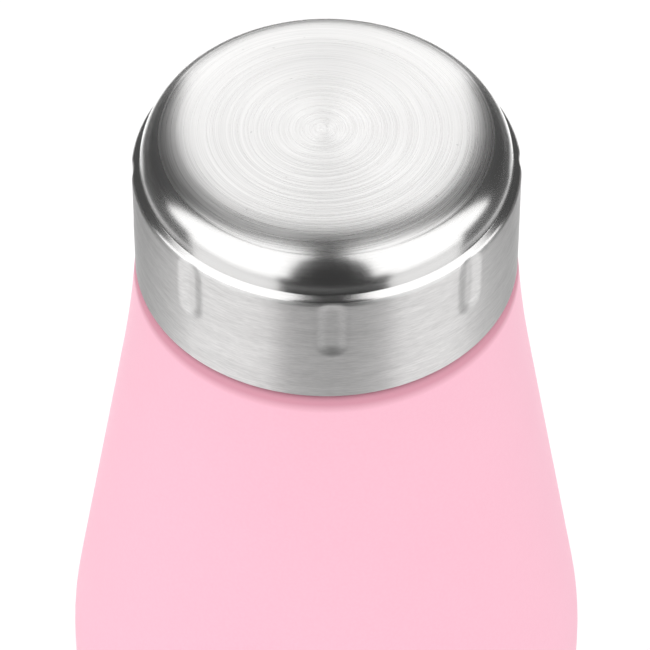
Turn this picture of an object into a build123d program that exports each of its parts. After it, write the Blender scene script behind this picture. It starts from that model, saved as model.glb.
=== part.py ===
from build123d import *
import os

# Insulated baby bottle, stood upright in its travel state, in millimetres.
# Z is the bottle's axis and z = 0 is the plane that the base pad stands on.

# ---- Body -------------------------------------------------------------------
BODY_R = 33.0            # outer radius of the cylinder
HIP_Z = 85.9             # where the cylinder's line meets the cone's line
HIP_BEND_R = 60.0        # bend from the cylinder into the cone
BEND_R = 23.8            # radius where the cone's line meets the shoulder's line
BEND_Z = 141.0           # height of that meeting
SHOULDER_BEND_R = 180.0  # hollow bend that eases the cone into the shoulder
SHOULDER_R = 23.08       # radius at the shoulder's sharp edge
SHOULDER_Z = 150.0       # height of the ledge under the lid
SHOULDER_EDGE_R = 1.2    # rounding of the shoulder's edge
SHELL_WALL = 0.5         # outer sheet
LINER_WALL = 0.4         # inner sheet
SEAM_Z = 8.0             # weld between the shell and its bottom cup

# ---- Neck and mouth -----------------------------------------------------------
NECK_R = 17.3            # outer radius of the neck wall
NECK_COVE_R = 0.8        # inside corner between the ledge and the neck
MOUTH_Z = 162.0          # top of the polished rim
RIM_H = 0.6              # height of the rim that joins the two walls
LINER_NECK_R = 16.3      # outer radius of the liner in the neck

# ---- Vacuum space and bottom --------------------------------------------------
LINER_R = 30.0           # outer radius of the liner
LINER_FOOT_Z = 9.5       # underside of the liner
LINER_FOOT_EDGE_R = 8.0  # rounding of the liner's bottom edge
LINER_BEND_R = 22.2      # radius where the liner's cone turns in towards the neck
LINER_BEND_Z = 133.0     # height of that turn
LINER_NECK_Z = 147.0     # where the liner's shoulder meets its neck
FOIL_WALL = 0.15
FOIL_GAP = 0.05          # between the wrap and the liner
FOIL_FOOT_Z = 20.0
FOIL_TOP_Z = 80.0
FOOT_Z = 0.6             # underside of the bottom cup's foot ring
FOOT_EDGE_R = 3.5        # rounding of the bottom edge
RECESS_R = 28.3          # radius of the recess under the bottle
RECESS_Z = 4.0           # height of the recess's ceiling
EVACUATION_HOLE_R = 1.5
BEAD_R = 3.5             # solder bead under the evacuation hole
BEAD_H = 1.0
GETTER_R = 4.0
GETTER_H = 1.8
GETTER_OFFSET = 12.0     # from the axis
COVER_R = 28.2
COVER_Z = 1.7            # underside of the base cover
COVER_WALL = 0.5
COVER_RIM_TOP_Z = 3.8
PAD_R = 26.0
PAD_EDGE_R = 0.5

# ---- Two-start right-handed threads ---------------------------------------------
THREAD_LEAD = 8.0        # rise in one turn
THREAD_STARTS = 2
THREAD_TURNS = 0.8       # turns of each rib
RIB_ROOT_W = 1.6         # axial width of a rib at the wall
RIB_CREST_W = 0.9        # axial width at the crest
RIB_SINK = 0.15          # how deep a rib's root is buried in its wall
THREAD_CLEARANCE = 0.3   # from any crest to the wall that faces it
RIB_H = 0.9              # height of a rib
NECK_THREAD_Z = 152.4    # middle of a neck rib at its start
LID_THREAD_Z = 153.2     # middle of a lid rib at its start

# ---- Teat, sealing disc and collar ----------------------------------------------
SEAL_GAP = 0.1           # an uncompressed seal's clearance
FLANGE_R = 18.1          # outer radius of the teat's flange
FLANGE_H = 1.4
TEAT_WALL = 1.4
TEAT_TOP_R = 15.2        # outer radius of the teat inside the neck
TEAT_SHOULDER_Z = 147.0  # where the inverted dome turns in
TEAT_TIP_Z = 124.0       # lowest point of the inverted teat
TEAT_TIP_R = 5.6         # radius of the nipple at its end
TEAT_NIPPLE_R = 6.3      # radius of the nipple where it meets the dome
TEAT_NIPPLE_Z = 141.5    # height of that meeting
TEAT_HOLE_R = 0.4
DISC_H = 0.8
COLLAR_FOOT_Z = 151.2
COLLAR_IN_R = NECK_R + RIB_H + THREAD_CLEARANCE
COLLAR_WALL = 1.6
COLLAR_OUT_R = COLLAR_IN_R + COLLAR_WALL
COLLAR_LIP_R = 15.6      # radius of the opening that the teat looks through
COLLAR_LIP_H = 1.2
COLLAR_EDGE_R = 0.5
GRIP_FOOT_Z = 160.9      # grip grooves round the top of the collar
GRIP_COUNT = 36
GRIP_R = 0.7
GRIP_DEPTH = 0.45

# ---- Lid --------------------------------------------------------------------------
LID_R = 23.0             # outer radius of the skirt
LID_FOOT_Z = 150.5       # lower edge of the skirt
SKIRT_H = 15.6           # height of the skirt up to its ledge
CREASE_R = 22.08         # radius of the crown's upright side
CREASE_H = 0.35          # rise from the skirt's edge to the crease
LEDGE_EDGE_R = 0.3
CROWN_H = 20.6           # height of the crown's edge above the lower edge
CROWN_EDGE_R = 3.0       # rounding of the crown
DOME_H = 0.7             # rise of the top disc from its edge to its middle
SHEET = 0.4              # lid steel
FLUTE_COUNT = 8
FLUTE_R = 2.8            # radius of the round bar that presses a flute
FLUTE_DEPTH = 0.5
FLUTE_FOOT_H = 7.4       # height of a flute's lower end above the lower edge
KEY_GAP = 0.1            # between the lid's steel and what it holds
LID_LINER_WALL_R = COLLAR_OUT_R + RIB_H + THREAD_CLEARANCE
LID_LINER_FOOT_Z = 150.9
LID_PLATE_H = 1.1        # thickness of the plastic plate
GASKET_IN_R = 16.0
GASKET_OUT_R = 19.6
GASKET_H = 1.2
FOAM_R = 20.2
FOAM_H = 2.2
FOAM_EDGE_R = 0.6
INNER_PLATE_R = 15.0
INNER_PLATE_H = 0.4

# ---- Heights that follow from the stack on the mouth --------------------------------
FLANGE_Z = MOUTH_Z + SEAL_GAP
DISC_Z = FLANGE_Z + FLANGE_H
LIP_Z = DISC_Z + DISC_H + SEAL_GAP
GASKET_Z = LIP_Z + COLLAR_LIP_H + SEAL_GAP
LID_PLATE_Z = GASKET_Z + GASKET_H
FOAM_Z = LID_PLATE_Z + LID_PLATE_H
SKIRT_TOP_Z = LID_FOOT_Z + SKIRT_H


def turned(*outline):
    """Solid of revolution about Z of a closed outline drawn as (radius, height)."""
    return revolve(Plane.XZ * make_face(outline), Axis.Z)


def turned_block(corners, radii):
    """Solid of revolution of filleted corners, closed along the axis.

    The first and the last corner lie on the axis, and radii has one value for each other corner.
    """
    side = FilletPolyline(*corners, radius=radii)
    return turned(side, Line(corners[-1], corners[0]))


def ring(inner_r, outer_r, foot_z, height):
    """Plain flat-topped ring on the axis."""
    blank = Cylinder(outer_r, height) - Cylinder(inner_r, height)
    return Pos(0, 0, foot_z + height / 2) * blank


def disc(radius, foot_z, height):
    """Plain round disc on the axis."""
    return Pos(0, 0, foot_z + height / 2) * Cylinder(radius, height)


def thread_ribs(wall_r, crest_r, start_z, start_angle):
    """Both ribs of a thread, on the wall at wall_r and up to crest_r."""
    root_r = wall_r - RIB_SINK if crest_r > wall_r else wall_r + RIB_SINK
    section = make_face(
        Polyline(
            (root_r, -RIB_ROOT_W / 2),
            (crest_r, -RIB_CREST_W / 2),
            (crest_r, RIB_CREST_W / 2),
            (root_r, RIB_ROOT_W / 2),
            close=True,
        )
    )
    path = Helix(pitch=THREAD_LEAD, height=THREAD_TURNS * THREAD_LEAD, radius=wall_r)
    rib = sweep(Plane.XZ * section, path=path, is_frenet=True)
    turns = [start_angle + start * 360 / THREAD_STARTS for start in range(THREAD_STARTS)]
    return [Pos(0, 0, start_z) * Rot(0, 0, turn) * rib for turn in turns]


def half_spacing():
    """Turn that sets a nut's ribs midway between its bolt's ribs."""
    return 180 / THREAD_STARTS


def make_outer_shell():
    """Painted body sheet with its threaded neck, open at the top and at the weld seam."""
    neck_top_z = MOUTH_Z - RIM_H
    block = turned_block(
        [
            (0, SEAM_Z),
            (BODY_R, SEAM_Z),
            (BODY_R, HIP_Z),
            (BEND_R, BEND_Z),
            (SHOULDER_R, SHOULDER_Z),
            (NECK_R, SHOULDER_Z),
            (NECK_R, neck_top_z),
            (0, neck_top_z),
        ],
        [0, HIP_BEND_R, SHOULDER_BEND_R, SHOULDER_EDGE_R, NECK_COVE_R, 0],
    )
    ends = block.faces().sort_by(Axis.Z)
    shell = offset(block, amount=-SHELL_WALL, openings=[ends[0], ends[-1]])
    return shell + thread_ribs(NECK_R, NECK_R + RIB_H, NECK_THREAD_Z, 0)


def make_inner_liner():
    """Inner flask, with the polished rim that closes the vacuum space at the mouth."""
    block = turned_block(
        [
            (0, LINER_FOOT_Z),
            (LINER_R, LINER_FOOT_Z),
            (LINER_R, HIP_Z),
            (LINER_BEND_R, LINER_BEND_Z),
            (LINER_NECK_R, LINER_NECK_Z),
            (LINER_NECK_R, MOUTH_Z),
            (0, MOUTH_Z),
        ],
        [LINER_FOOT_EDGE_R, HIP_BEND_R, 20, 10, 0],
    )
    top = block.faces().sort_by(Axis.Z)[-1]
    flask = offset(block, amount=-LINER_WALL, openings=[top])
    rim = ring(LINER_NECK_R - LINER_WALL, NECK_R, MOUTH_Z - RIM_H, RIM_H)
    return flask + rim


def make_copper_foil():
    """Radiation shield wrapped round the liner's straight wall."""
    inner_r = LINER_R + FOIL_GAP
    return ring(inner_r, inner_r + FOIL_WALL, FOIL_FOOT_Z, FOIL_TOP_Z - FOIL_FOOT_Z)


def make_shell_base():
    """Bottom cup: rounded edge, foot ring and a recess for the base cover."""
    wall = SHELL_WALL
    inner_r = BODY_R - wall
    side = FilletPolyline(
        (BODY_R, SEAM_Z),
        (BODY_R, FOOT_Z),
        (RECESS_R, FOOT_Z),
        (RECESS_R, RECESS_Z),
        (0, RECESS_Z),
        (0, RECESS_Z + wall),
        (RECESS_R + wall, RECESS_Z + wall),
        (RECESS_R + wall, FOOT_Z + wall),
        (inner_r, FOOT_Z + wall),
        (inner_r, SEAM_Z),
        radius=[FOOT_EDGE_R, 0, 0, 0, 0, 0, 0, FOOT_EDGE_R - wall],
    )
    cup = turned(side, Line((inner_r, SEAM_Z), (BODY_R, SEAM_Z)))
    return cup - disc(EVACUATION_HOLE_R, RECESS_Z, wall)


def make_vacuum_seal():
    """Solder bead that fills the evacuation hole and spreads under it."""
    bead = disc(BEAD_R, RECESS_Z - BEAD_H, BEAD_H)
    bead = fillet(bead.edges().group_by(Axis.Z)[0], BEAD_H * 0.8)
    return bead + disc(EVACUATION_HOLE_R, RECESS_Z, SHELL_WALL)


def make_getter():
    """Getter pellet on the vacuum side of the bottom cup."""
    pellet = Pos(GETTER_OFFSET, 0, 0) * disc(GETTER_R, RECESS_Z + SHELL_WALL, GETTER_H)
    return chamfer(pellet.edges().group_by(Axis.Z)[-1], 0.3)


def make_base_cover():
    """Steel disc with an upturned rim, pressed into the recess."""
    cover = disc(COVER_R, COVER_Z, COVER_RIM_TOP_Z - COVER_Z)
    cover = fillet(cover.edges().group_by(Axis.Z)[0], 1.0)
    top = cover.faces().sort_by(Axis.Z)[-1]
    return offset(cover, amount=-COVER_WALL, openings=[top])


def make_base_pad():
    """Silicone pad glued to the base cover."""
    pad = disc(PAD_R, 0, COVER_Z)
    return fillet(pad.edges().group_by(Axis.Z)[0], PAD_EDGE_R)


def make_teat():
    """Silicone teat stored upside down: its flange lies on the mouth and its nipple points down."""
    block = turned_block(
        [
            (0, TEAT_TIP_Z),
            (TEAT_TIP_R, TEAT_TIP_Z),
            (TEAT_NIPPLE_R, TEAT_NIPPLE_Z),
            (TEAT_TOP_R, TEAT_SHOULDER_Z),
            (TEAT_TOP_R, FLANGE_Z + FLANGE_H),
            (0, FLANGE_Z + FLANGE_H),
        ],
        [5.0, 3.5, 6.0, 0],
    )
    top = block.faces().sort_by(Axis.Z)[-1]
    dome = offset(block, amount=-TEAT_WALL, openings=[top])
    flange = ring(TEAT_TOP_R - TEAT_WALL, FLANGE_R, FLANGE_Z, FLANGE_H)
    tip_hole = disc(TEAT_HOLE_R, TEAT_TIP_Z - 1, TEAT_WALL + 2)
    return dome + flange - tip_hole


def make_sealing_disc():
    """Disc that covers the teat's open side and is clamped by the collar's lip."""
    plate = disc(FLANGE_R, DISC_Z, DISC_H)
    return fillet(plate.edges().group_by(Axis.Z)[-1], 0.3)


def make_collar():
    """Screw collar: thread inside for the neck, thread outside for the lid, lip over the disc."""
    top_z = LIP_Z + COLLAR_LIP_H
    tube = disc(COLLAR_OUT_R, COLLAR_FOOT_Z, top_z - COLLAR_FOOT_Z)
    tube = fillet(tube.edges().group_by(Axis.Z)[-1], COLLAR_EDGE_R)
    tube -= disc(COLLAR_IN_R, COLLAR_FOOT_Z, LIP_Z - COLLAR_FOOT_Z)
    tube -= disc(COLLAR_LIP_R, LIP_Z, COLLAR_LIP_H)
    bar_h = top_z - COLLAR_EDGE_R - GRIP_FOOT_Z
    bar = Pos(COLLAR_OUT_R + GRIP_R - GRIP_DEPTH, 0, GRIP_FOOT_Z + bar_h / 2) * Cylinder(GRIP_R, bar_h)
    tube -= [Rot(0, 0, step * 360 / GRIP_COUNT) * bar for step in range(GRIP_COUNT)]
    tube += thread_ribs(COLLAR_OUT_R, COLLAR_OUT_R + RIB_H, LID_THREAD_Z, 0)
    return tube + thread_ribs(COLLAR_IN_R, COLLAR_IN_R - RIB_H, NECK_THREAD_Z, half_spacing())


def make_lid_gasket():
    """Silicone slip ring between the collar's lip and the lid's plate."""
    gasket = ring(GASKET_IN_R, GASKET_OUT_R, GASKET_Z, GASKET_H)
    return fillet(gasket.edges().group_by(Axis.Z)[0], 0.4)


def lid_block(inset):
    """Solid of the lid's outer form, moved inwards by inset everywhere."""
    crown_z = LID_FOOT_Z + CROWN_H - inset
    side = FilletPolyline(
        (0, LID_FOOT_Z),
        (LID_R - inset, LID_FOOT_Z),
        (LID_R - inset, SKIRT_TOP_Z - inset),
        (CREASE_R - inset, SKIRT_TOP_Z + CREASE_H - inset),
        (CREASE_R - inset, crown_z),
        (0, crown_z),
        radius=[0, LEDGE_EDGE_R, 0, CROWN_EDGE_R - inset],
    )
    drum = turned(side, Line((0, crown_z), (0, LID_FOOT_Z)))
    disc_r = CREASE_R - CROWN_EDGE_R
    dome_arc = ThreePointArc((-disc_r, crown_z), (0, crown_z + DOME_H), (disc_r, crown_z))
    half_dome = make_face([dome_arc, Line((disc_r, crown_z), (-disc_r, crown_z))])
    half_dome &= Pos(LID_R / 2, crown_z) * Rectangle(LID_R, LID_R)
    return drum + revolve(Plane.XZ * half_dome, Axis.Z)


def flute_bars(grow):
    """Round-ended upright bars that press the flutes, thickened by grow."""
    radius = FLUTE_R + grow
    foot_z = LID_FOOT_Z + FLUTE_FOOT_H + (2 * FLUTE_R * FLUTE_DEPTH - FLUTE_DEPTH**2) ** 0.5
    height = LID_FOOT_Z + CROWN_H - foot_z
    bar = Pos(0, 0, foot_z + height / 2) * Cylinder(radius, height) + Pos(0, 0, foot_z) * Sphere(radius)
    bar = Pos(LID_R - FLUTE_DEPTH + FLUTE_R, 0, 0) * bar
    step = 360 / FLUTE_COUNT
    return [Rot(0, 0, flute * step - 90) * bar for flute in range(FLUTE_COUNT)]


def make_lid_cover():
    """Pressed steel skin of the lid, of one thickness, flutes included."""
    hollow = lid_block(SHEET) - flute_bars(SHEET)
    return lid_block(0) - flute_bars(0) - hollow


def make_lid_liner():
    """Plastic inner lid: a threaded wall keyed to the flutes, and the plate over the gasket."""
    outer_r = LID_R - SHEET - KEY_GAP
    plate_r = CREASE_R - SHEET - KEY_GAP
    wall_top_z = SKIRT_TOP_Z - SHEET - KEY_GAP
    liner = disc(outer_r, LID_LINER_FOOT_Z, wall_top_z - LID_LINER_FOOT_Z)
    liner += disc(plate_r, wall_top_z, FOAM_Z - wall_top_z)
    liner -= disc(LID_LINER_WALL_R, LID_LINER_FOOT_Z, LID_PLATE_Z - LID_LINER_FOOT_Z)
    liner -= flute_bars(SHEET + KEY_GAP)
    crest_r = LID_LINER_WALL_R - RIB_H
    return liner + thread_ribs(LID_LINER_WALL_R, crest_r, LID_THREAD_Z, half_spacing())


def make_lid_insulation():
    """Foam puck between the plastic plate and the steel crown."""
    puck = disc(FOAM_R, FOAM_Z, FOAM_H)
    return fillet(puck.edges().group_by(Axis.Z)[-1], FOAM_EDGE_R)


def make_lid_inner_plate():
    """Steel disc on the underside of the plastic plate, over the collar's opening."""
    return disc(INNER_PLATE_R, LID_PLATE_Z - INNER_PLATE_H, INNER_PLATE_H)


def main():
    nodes = {
        "outer_shell": make_outer_shell(),
        "shell_base": make_shell_base(),
        "vacuum_seal": make_vacuum_seal(),
        "getter": make_getter(),
        "inner_liner": make_inner_liner(),
        "copper_foil": make_copper_foil(),
        "base_cover": make_base_cover(),
        "base_pad": make_base_pad(),
        "teat": make_teat(),
        "sealing_disc": make_sealing_disc(),
        "collar": make_collar(),
        "lid_gasket": make_lid_gasket(),
        "lid_cover": make_lid_cover(),
        "lid_liner": make_lid_liner(),
        "lid_insulation": make_lid_insulation(),
        "lid_inner_plate": make_lid_inner_plate(),
    }
    os.makedirs("parts", exist_ok=True)
    for name, solid in nodes.items():
        export_step(solid, f"parts/{name}.step")


main()
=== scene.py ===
import math
import bpy
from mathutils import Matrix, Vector


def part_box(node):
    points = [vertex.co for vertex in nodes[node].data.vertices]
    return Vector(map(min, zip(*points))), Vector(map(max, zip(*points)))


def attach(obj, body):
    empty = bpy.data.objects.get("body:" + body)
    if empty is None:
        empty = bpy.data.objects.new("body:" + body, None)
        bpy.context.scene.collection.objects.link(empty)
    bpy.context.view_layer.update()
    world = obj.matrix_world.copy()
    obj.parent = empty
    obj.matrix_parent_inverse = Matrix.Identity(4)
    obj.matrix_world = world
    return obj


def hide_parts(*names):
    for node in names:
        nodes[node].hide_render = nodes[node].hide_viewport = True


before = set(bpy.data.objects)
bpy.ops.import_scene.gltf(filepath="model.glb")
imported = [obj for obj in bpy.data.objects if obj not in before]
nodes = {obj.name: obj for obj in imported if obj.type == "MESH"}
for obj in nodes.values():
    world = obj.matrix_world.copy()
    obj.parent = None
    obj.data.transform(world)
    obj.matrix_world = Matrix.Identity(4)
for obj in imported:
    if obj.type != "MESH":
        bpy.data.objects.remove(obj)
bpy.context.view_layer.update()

MM = 0.001
TAU = 2 * math.pi


def reach(name):
    """Lowest height, highest height and outer radius of a CAD node."""
    low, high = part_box(name)
    return low.z, high.z, high.x


# ---- Places and sizes that come from the frame ---------------------------------------
LID_FOOT, LID_TOP, LID_R = reach("lid_cover")
SEAM, NECK_TOP_Z, BODY_R = reach("outer_shell")
FOOT_Z = reach("shell_base")[0]
LINER_FOOT_Z, MOUTH_Z, LINER_R = reach("inner_liner")
COVER_Z, COVER_RIM_Z, COVER_R = reach("base_cover")
PAD_Z, PAD_TOP_Z, PAD_R = reach("base_pad")
TEAT_TIP_Z, FLANGE_TOP_Z, FLANGE_R = reach("teat")
DISC_Z, DISC_TOP_Z, DISC_R = reach("sealing_disc")
COLLAR_FOOT_Z, COLLAR_TOP_Z = reach("collar")[:2]
GASKET_Z, GASKET_TOP_Z, GASKET_R = reach("lid_gasket")
LID_LINER_FOOT_Z, LID_LINER_TOP_Z, LID_LINER_R = reach("lid_liner")
PLATE_Z, PLATE_TOP_Z, PLATE_R = reach("lid_inner_plate")

# ---- Lid skin: an _H is a height above its lower edge -------------------------------------
SHEET = 0.4 * MM
SKIRT_H = 15.6 * MM
CREASE_R = 22.08 * MM       # where the ledge meets the crown
CREASE_H = 0.62 * MM
CREASE_COVE_R = 0.12 * MM
LEDGE_EDGE_R = 1.0 * MM
RING_R = 19.67 * MM         # turned line round the top disc
RING_H = 20.27 * MM
CROWN_SLOPE = 26.0          # slope of the crown just outside the line, in degrees
CROWN_DRAFT = 8.0           # lean of the crown's side, in degrees
RING_GROOVE_W = 0.18 * MM
RING_GROOVE_D = 0.012 * MM
DISC_BEND_R = 13.6 * MM     # the disc is nearly flat up to here and then rolls down to the line
DISC_ROLL_POWER = 3.13
FLUTES = 8
FLUTE_DEPTH = 0.3 * MM
FLUTE_HALF_W = 2.15 * MM    # also the radius of its ends
FLUTE_FLOOR_HALF_W = 0.35 * MM
FLUTE_FOOT_H = 6.7 * MM
FLUTE_TOP_H = 14.2 * MM     # where the flute's round upper end begins

# ---- Body --------------------------------------------------------------------------------
HIP_Z = 85.9 * MM
HIP_BEND_R = 60 * MM
BEND = (23.8 * MM, 141 * MM)
SHOULDER_BEND_R = 180 * MM
SHOULDER = (23.08 * MM, 150 * MM)
SHOULDER_EDGE_R = 1.2 * MM
NECK_R = 17.3 * MM
NECK_COVE_R = 0.8 * MM
SHELL_WALL = 0.5 * MM
FOOT_EDGE_R = 3.5 * MM
RECESS_R = 28.3 * MM
RECESS_Z = 4.0 * MM
EVACUATION_HOLE_R = 1.5 * MM

# ---- Liner -------------------------------------------------------------------------------
LINER_WALL = 0.4 * MM
LINER_FOOT_EDGE_R = 8 * MM
LINER_BEND = (22.2 * MM, 133 * MM)
LINER_NECK = (16.3 * MM, 147 * MM)
RIM_EDGE_R = 0.25 * MM

# ---- Base cover and pad --------------------------------------------------------------------
COVER_WALL = 0.5 * MM
COVER_EDGE_R = 1.0 * MM
PAD_EDGE_R = 0.5 * MM
PAD_RING_IN_R = 23.4 * MM   # the pad stands on this outer ring and on the tread inside it
PAD_TREAD_OUT_R = 22.2 * MM
PAD_TREAD_IN_R = 8.0 * MM
PAD_GROOVE = 0.45 * MM
PAD_MIDDLE_SHARE = 0.6      # depth inside the tread, as a share of the groove's
PAD_RING_FLANK_W = 0.3 * MM
PAD_TREAD_FLANK_W = 0.5 * MM
PAD_RIB_PITCH = 1.8 * MM
PAD_RIB_HALF_SHARE = 0.22   # of the pitch, on each side of a rib's middle
PAD_RIB_FLANK_SHARE = 0.12
PAD_SPOKES = 9
PAD_SPOKE_W = 1.1 * MM
PAD_SPOKE_SWEEP = 25        # how far the curved spokes turn, in radians a metre

# ---- Threads: two starts, right-handed -----------------------------------------------------
THREAD_LEAD = 8 * MM
THREAD_STARTS = 2
THREAD_TURNS = 0.8
RIB_ROOT_W = 2.0 * MM
RIB_CREST_W = 0.9 * MM
RIB_H = 0.9 * MM
RIB_TAPER = 0.06            # turns over which a rib's end runs out
NECK_THREAD_Z = 152.4 * MM
LID_THREAD_Z = 153.2 * MM
HALF_SPACING = math.pi / THREAD_STARTS      # half the angle between two starts
THREAD_ROW = 0.11 * MM      # height of a mesh row on a threaded wall

# ---- Teat ------------------------------------------------------------------------------------
TEAT_HOLE_R = 0.4 * MM
TEAT_TIP_R = 5.6 * MM
TEAT_TIP_EDGE_R = 5.0 * MM
TEAT_NIPPLE = (6.3 * MM, 141.5 * MM)
TEAT_NIPPLE_COVE_R = 3.5 * MM
TEAT_SHOULDER = (15.2 * MM, 147 * MM)
TEAT_SHOULDER_R = 6.0 * MM
TEAT_WALL = 1.4 * MM
FLANGE_H = 1.4 * MM
TEAT_PETALS = 8
TEAT_PETAL_H = 0.45 * MM
TEAT_RINGS = 3
TEAT_RING_PITCH = 1.7 * MM
TEAT_RING_H = 0.22 * MM
TEAT_RINGS_Z = 134.5 * MM

# ---- Collar and lid liner ----------------------------------------------------------------------
COLLAR_IN_R = 18.5 * MM
COLLAR_OUT_R = 20.1 * MM
COLLAR_LIP_R = 15.6 * MM
COLLAR_LIP_H = 1.2 * MM
COLLAR_EDGE_R = 0.5 * MM
GRIPS = 36
GRIP_FOOT_Z = 160.9 * MM
GRIP_DEPTH = 0.45 * MM
LID_LINER_WALL_R = 21.3 * MM
LID_PLATE_H = 1.1 * MM
LINER_CROWN_R = 21.58 * MM
LINER_STEP_Z = 165.6 * MM
GASKET_IN_R = 16.0 * MM

# ---- Camera ------------------------------------------------------------------------------------
CAMERA_AZIMUTH = -1.6       # from the middle of a flute, in degrees
CAMERA_ELEVATION = 46.0
CAMERA_DISTANCE = 23.5 * LID_R
CAMERA_LENS = 248.7
AIM_DROP = 12.3 * MM        # the camera aims this far below the lid's lower edge
AIM_SIDE = 0.18 * MM        # and this far to the left of the axis


# ======================================= mesh tools ==============================================

def rounded(corners, radii, step=math.radians(6)):
    """Outline through corners, each inner corner replaced by an arc of its radius."""
    points = [corners[0]]
    for before, corner, after, radius in zip(corners, corners[1:], corners[2:], radii):
        if radius == 0:
            points.append(corner)
            continue
        a = Vector(before) - Vector(corner)
        b = Vector(after) - Vector(corner)
        a.normalize()
        b.normalize()
        turn = math.pi - a.angle(b)
        run = radius * math.tan(turn / 2)
        centre = Vector(corner) + (a + b).normalized() * radius / math.cos(turn / 2)
        start = Vector(corner) + a * run - centre
        side = 1 if a.x * b.y - a.y * b.x < 0 else -1
        count = max(2, math.ceil(turn / step))
        for i in range(count + 1):
            angle = side * turn * i / count
            c, s = math.cos(angle), math.sin(angle)
            points.append((centre.x + start.x * c - start.y * s, centre.y + start.x * s + start.y * c))
    points.append(corners[-1])
    return [tuple(p) for p in points]


def spaced(points, longest):
    """The same outline with every run cut into pieces no longer than longest."""
    out = [points[0]]
    for p, q in zip(points, points[1:]):
        count = max(1, math.ceil(math.dist(p, q) / longest))
        for i in range(1, count + 1):
            out.append((p[0] + (q[0] - p[0]) * i / count, p[1] + (q[1] - p[1]) * i / count))
    return out


def beside(points, distance):
    """The same outline moved sideways, to the left of its direction."""
    out = []
    last = len(points) - 1
    for i, point in enumerate(points):
        along = Vector(points[min(last, i + 1)]) - Vector(points[max(0, i - 1)])
        along.normalize()
        out.append((point[0] - along.y * distance, point[1] + along.x * distance))
    return out


def new_object(name, verts, faces):
    """New mesh object in the scene."""
    mesh = bpy.data.meshes.new(name)
    mesh.from_pydata(verts, [], faces)
    obj = bpy.data.objects.new(name, mesh)
    bpy.context.scene.collection.objects.link(obj)
    return obj


def lathe(name, outline, angles, shape=None, closed=True, smooth=35):
    """Turns an outline of (radius, height) points about Z.

    A closed outline makes a ring; an open one starts and ends on the axis. shape moves a point:
    it takes angle, radius and height and gives the radius and height to use.
    """
    verts, rows = [], []
    for r, z in outline:
        if r < 1e-9:
            rows.append([len(verts)])
            verts.append((0, 0, z))
            continue
        rows.append(list(range(len(verts), len(verts) + len(angles))))
        for angle in angles:
            rr, zz = shape(angle, r, z) if shape else (r, z)
            verts.append((rr * math.cos(angle), rr * math.sin(angle), zz))
    faces = []
    pairs = list(zip(rows, rows[1:]))
    if closed:
        pairs.append((rows[-1], rows[0]))
    n = len(angles)
    for low, high in pairs:
        for i in range(n):
            j = (i + 1) % n
            if len(low) == 1:
                faces.append((low[0], high[j], high[i]))
            elif len(high) == 1:
                faces.append((low[i], low[j], high[0]))
            else:
                faces.append((low[i], low[j], high[j], high[i]))
    piece = new_object(name, verts, faces)
    piece.data.shade_smooth()
    piece.data.set_sharp_from_angle(angle=math.radians(smooth))
    return piece


def even_angles(count):
    return [TAU * i / count for i in range(count)]


def smoothstep(x):
    x = min(1.0, max(0.0, x))
    return x * x * (3 - 2 * x)


def rib_height(angle, z, start_z, first_angle):
    """Height of a two-start thread's ribs over their wall, at one place on it."""
    best = 0.0
    for start in range(THREAD_STARTS):
        turned = (angle - first_angle - start * TAU / THREAD_STARTS) % TAU / TAU
        for lap in range(2):
            along = turned + lap
            if along > THREAD_TURNS:
                continue
            off = abs(z - start_z - THREAD_LEAD * along)
            flank = (RIB_ROOT_W / 2 - off) / ((RIB_ROOT_W - RIB_CREST_W) / 2)
            ends = smoothstep(min(along, THREAD_TURNS - along) / RIB_TAPER)
            best = max(best, RIB_H * smoothstep(flank) * ends)
    return best


def settle(piece, body, node, slot, *materials):
    """Gives a piece its materials and its body, and hides the CAD node it stands for. Its slot is not used.
    """
    for material in materials:
        piece.data.materials.append(material)
    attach(piece, body)
    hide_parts(node)


# ======================================= node tools ==============================================

def new_material(name):
    """New material. It ends in _look, because the CAD's own materials have the slots' names."""
    material = bpy.data.materials.new(name + "_look")
    material.use_nodes = True
    tree = material.node_tree
    return material, tree, tree.nodes["Principled BSDF"]


def feed(tree, socket, value):
    """Links a socket's output to an input, or sets the input's number or colour."""
    if isinstance(value, bpy.types.NodeSocket):
        tree.links.new(value, socket)
    elif isinstance(value, tuple) and socket.type == "RGBA":
        socket.default_value = (*value, 1)
    else:
        socket.default_value = value


def add(tree, kind, **inputs):
    """Adds a node; keyword names are input names with spaces as underscores."""
    node = tree.nodes.new(kind)
    for key, value in inputs.items():
        feed(tree, node.inputs[key.replace("_", " ")], value)
    return node


def maths(tree, operation, a, b=0.0):
    node = tree.nodes.new("ShaderNodeMath")
    node.operation = operation
    feed(tree, node.inputs[0], a)
    feed(tree, node.inputs[1], b)
    return node.outputs[0]


def ramp(tree, factor, *stops):
    """Colour ramp from stops of (place, colour)."""
    node = tree.nodes.new("ShaderNodeValToRGB")
    tree.links.new(factor, node.inputs[0])
    elements = node.color_ramp.elements
    while len(elements) < len(stops):
        elements.new(0.5)
    for element, (place, colour) in zip(elements, stops):
        element.position = place
        element.color = (*colour, 1)
    return node.outputs[0]


def mix_colour(tree, factor, a, b):
    node = tree.nodes.new("ShaderNodeMix")
    node.data_type = "RGBA"
    feed(tree, node.inputs[0], factor)
    feed(tree, node.inputs[6], a)
    feed(tree, node.inputs[7], b)
    return node.outputs[2]


def object_point(tree):
    return tree.nodes.new("ShaderNodeTexCoord").outputs["Object"]


def noise(tree, vector, scale, detail=2.0, roughness=0.5):
    node = add(tree, "ShaderNodeTexNoise", Vector=vector, Scale=scale, Detail=detail, Roughness=roughness)
    return node.outputs["Fac"]


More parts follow.
